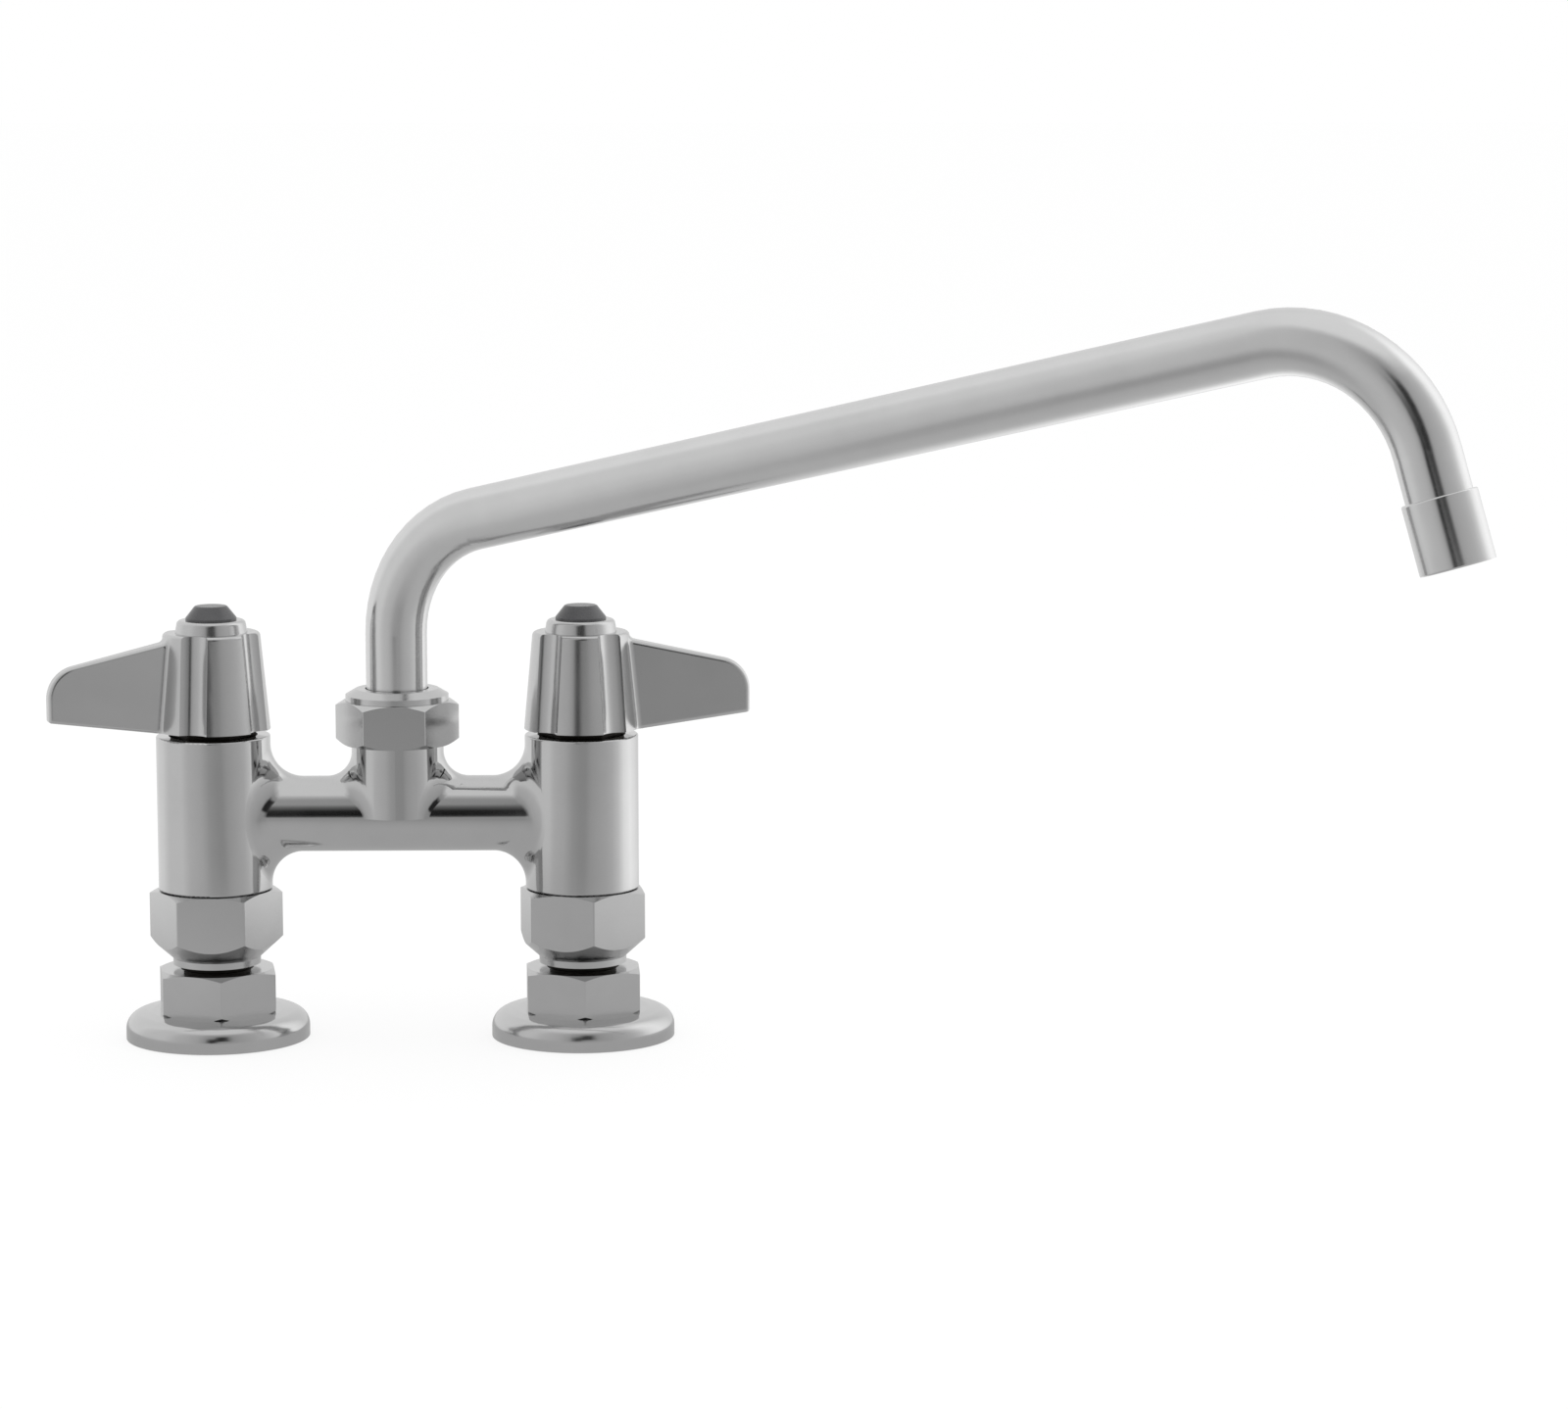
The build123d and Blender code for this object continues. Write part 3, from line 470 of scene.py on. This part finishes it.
class FAUCET_OT_supply_threads(bpy.types.Operator):
    """Winds a fine thread ridge inside both supply holes"""

    bl_idname = "faucet.supply_threads"
    bl_label = "Supply Threads"

    def execute(self, context):
        sizes = context.scene.faucet_threads
        for mount in frame["record"]["mounts"]:
            if mount["kind"] == "threaded_hole":
                self.wind(mount, sizes)
        return {"FINISHED"}

    def wind(self, mount, sizes):
        """One hole's ridge: a small triangle screwed up the wall."""
        centre = Vector(mount["pos_m"])
        wall = mount["dims"]["r_mm"] * MM
        length = mount["dims"]["length_mm"] * MM
        turns = int((length - 2 * sizes.end_gap) / sizes.pitch)
        foot = centre.z - length / 2 + sizes.end_gap
        mesh = bmesh.new()
        root = wall + THREAD_FOOT
        corners = ((root, 0.0), (wall - sizes.ridge, sizes.pitch / 4), (root, sizes.pitch / 2))
        verts = [mesh.verts.new((centre.x + radius, centre.y, foot + rise)) for radius, rise in corners]
        edges = [mesh.edges.new(pair) for pair in zip(verts, verts[1:] + verts[:1])]
        steps = turns * sizes.steps
        bmesh.ops.spin(
            mesh, geom=verts + edges, cent=centre, axis=(0, 0, 1), dvec=(0, 0, sizes.pitch / sizes.steps),
            angle=2 * math.pi * turns, steps=steps,
        )
        bmesh.ops.recalc_face_normals(mesh, faces=mesh.faces)
        piece = finish_piece(mesh, mount["name"].replace("_inlet", "") + "_supply_thread", "body")
        piece.data.materials.append(bpy.data.materials["nut_chrome_plate"])


def finish_piece(mesh, name, body):
    """Turns a bmesh into a piece that rides on a body."""
    data = bpy.data.meshes.new(name)
    mesh.to_mesh(data)
    mesh.free()
    data.shade_smooth()
    piece = bpy.data.objects.new(name, data)
    bpy.context.scene.collection.objects.link(piece)
    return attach(piece, body)


class FAUCET_OT_studio(bpy.types.Operator):
    """Sets the camera, floor, light tent, room light and soft boxes"""

    bl_idname = "faucet.studio"
    bl_label = "Studio"

    def execute(self, context):
        studio = context.scene.faucet_studio
        context.scene.view_settings.view_transform = "Standard"
        self.camera(context, studio)
        self.floor(studio)
        self.tent(studio)
        self.room(context, studio)
        for name, place, size, power in SOFT_BOXES:
            self.soft_box(name, place, size, getattr(studio, power))
        return {"FINISHED"}

    def camera(self, context, studio):
        """Camera at the photograph's place and angle."""
        data = bpy.data.cameras.new("photo_camera")
        data.sensor_width = SENSOR_WIDTH
        data.lens = studio.lens
        data.clip_end = VIEW_END
        camera = bpy.data.objects.new("photo_camera", data)
        camera.location = studio.camera_place
        camera.rotation_euler = Euler((math.pi / 2 - studio.camera_pitch, 0.0, -studio.camera_yaw))
        context.scene.collection.objects.link(camera)
        context.scene.camera = camera

    def floor(self, studio):
        """Pale floor just under the flanges, white to the camera and in reflections."""
        mesh = bmesh.new()
        bmesh.ops.create_grid(mesh, x_segments=1, y_segments=1, size=studio.floor_size / 2)
        data = bpy.data.meshes.new("floor")
        mesh.to_mesh(data)
        mesh.free()
        floor = bpy.data.objects.new("floor", data)
        floor.location.z = FLOOR_LEVEL
        bpy.context.scene.collection.objects.link(floor)
        material, tree, shader = new_material("pale_floor")
        shader.inputs["Base Color"].default_value = (*studio.floor_color, 1.0)
        shader.inputs["Roughness"].default_value = 0.9
        white = add(tree, "ShaderNodeEmission")
        share = product(tree, seen(tree), FLOOR_GLOW)
        mix = add(tree, "ShaderNodeMixShader", [(0, share), (1, shader.outputs[0]), (2, white.outputs[0])])
        tree.links.new(mix.outputs[0], tree.nodes["Material Output"].inputs["Surface"])
        data.materials.append(material)

    def tent(self, studio):
        """Light tent that only reflections see: ceiling, wall with a dark slot for the camera, and floor cloth."""
        mesh = bmesh.new()
        rise = Vector((0.0, 0.0, studio.tent_height))
        bmesh.ops.create_circle(
            mesh, cap_ends=True, radius=studio.tent_radius, segments=TENT_SEGMENTS, matrix=Matrix.Translation(rise),
        )
        wall = bmesh.ops.extrude_edge_only(mesh, edges=mesh.edges)
        foot = [item for item in wall["geom"] if isinstance(item, bmesh.types.BMVert)]
        bmesh.ops.translate(mesh, verts=foot, vec=-rise)
        material, tree, angle, place = self.cloth("tent_wall_cloth")
        height = add(tree, "ShaderNodeSeparateXYZ", [("Vector", place)]).outputs["Z"]
        tone = mixed(tree, ramp(tree, height, TOP_EDGES), arc(tree, angle, TENT_TONES), TOP_TONE)
        tone = lowered(tree, tone, arc(tree, angle, SLOT_EDGES), ramp(tree, height, SLOT_TONES))
        tone = lowered(tree, tone, arc(tree, angle, STAND_EDGES), ramp(tree, height, STAND_TONES))
        self.glow(tree, tone)
        self.tent_piece("tent_wall", mesh, material)

        mesh = bmesh.new()
        bmesh.ops.create_circle(mesh, cap_ends=True, radius=studio.tent_radius, segments=TENT_SEGMENTS)
        material, tree, angle, place = self.cloth("tent_floor_cloth")
        distance = add(tree, "ShaderNodeVectorMath", [(0, place)], operation="LENGTH").outputs["Value"]
        tone = mixed(tree, ramp(tree, distance, CLOTH_EDGES), arc(tree, angle, TENT_TONES), CLOTH_TONE)
        tone = lowered(tree, tone, arc(tree, angle, SLOT_EDGES), ramp(tree, distance, CLOTH_FADE))
        self.glow(tree, tone)
        self.tent_piece("tent_floor", mesh, material)

    def cloth(self, name):
        """Cloth material with its tree, the angle around the faucet and the place."""
        material, tree, _ = new_material(name)
        place = object_place(tree, turn=(0.0, 0.0, math.pi / 2))
        angle = add(tree, "ShaderNodeTexGradient", [("Vector", place)], gradient_type="RADIAL").outputs["Fac"]
        return material, tree, angle, place

    def glow(self, tree, tone):
        """Lets a cloth glow with its tone."""
        light = add(tree, "ShaderNodeEmission", [("Strength", tone)])
        tree.links.new(light.outputs[0], tree.nodes["Material Output"].inputs["Surface"])

    def tent_piece(self, name, mesh, material):
        """Sets a cloth on the tent's level, where only reflections see it."""
        data = bpy.data.meshes.new(name)
        mesh.to_mesh(data)
        mesh.free()
        data.materials.append(material)
        cloth = bpy.data.objects.new(name, data)
        cloth.location.z = TENT_LEVEL
        cloth.visible_camera = cloth.visible_diffuse = cloth.visible_shadow = False
        bpy.context.scene.collection.objects.link(cloth)

    def room(self, context, studio):
        """Pale room around the tent, white to the camera and in reflections."""
        world = bpy.data.worlds.new("white_room")
        context.scene.world = world
        world.use_nodes = True
        tree = world.node_tree
        strength = add(tree, "ShaderNodeMapRange", [("Value", seen(tree))])
        strength.inputs["To Min"].default_value = studio.room_light
        strength.inputs["To Max"].default_value = 1.0
        background = tree.nodes["Background"]
        background.inputs["Color"].default_value = WHITE
        tree.links.new(strength.outputs["Result"], background.inputs["Strength"])

    def soft_box(self, name, place, size, power):
        """Square soft box that faces the faucet's middle and shows in no reflection."""
        data = bpy.data.lights.new(name, "AREA")
        data.shape = "SQUARE"
        data.size = size
        data.energy = power
        light = bpy.data.objects.new(name, data)
        light.location = place
        light.visible_glossy = False
        aim = Vector(SOFT_BOX_AIM) - Vector(place)
        light.rotation_euler = aim.to_track_quat("-Z", "Y").to_euler()
        bpy.context.scene.collection.objects.link(light)


class FAUCET_PT_looks(bpy.types.Panel):
    """Faucet sizes, colours and steps"""

    bl_label = "Faucet Looks"
    bl_space_type = "VIEW_3D"
    bl_region_type = "UI"
    bl_category = "Faucet"

    def draw(self, context):
        for group in (context.scene.faucet_finishes, context.scene.faucet_threads, context.scene.faucet_studio):
            box = self.layout.box()
            for name in group.__annotations__:
                box.prop(group, name)
        for operator in OPERATORS:
            self.layout.operator(operator.bl_idname)


GROUPS = {"faucet_finishes": FaucetFinishes, "faucet_threads": FaucetThreads, "faucet_studio": FaucetStudio}
OPERATORS = (
    FAUCET_OT_studio,
    FAUCET_OT_plated_finish,
    FAUCET_OT_spout_finish,
    FAUCET_OT_inner_finishes,
    FAUCET_OT_supply_threads,
)


def register():
    """Adds the classes and the scene's settings."""
    for item in (*GROUPS.values(), *OPERATORS, FAUCET_PT_looks):
        bpy.utils.register_class(item)
    for name, group in GROUPS.items():
        setattr(bpy.types.Scene, name, PointerProperty(type=group))


def unregister():
    """Takes the classes and the settings away."""
    for name in GROUPS:
        delattr(bpy.types.Scene, name)
    for item in reversed((*GROUPS.values(), *OPERATORS, FAUCET_PT_looks)):
        bpy.utils.unregister_class(item)


def main():
    """Registers the add-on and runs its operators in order."""
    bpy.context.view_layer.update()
    register()
    bpy.ops.faucet.studio()
    bpy.ops.faucet.plated_finish()
    bpy.ops.faucet.spout_finish()
    bpy.ops.faucet.inner_finishes()
    bpy.ops.faucet.supply_threads()


if __name__ == "__main__":
    main()
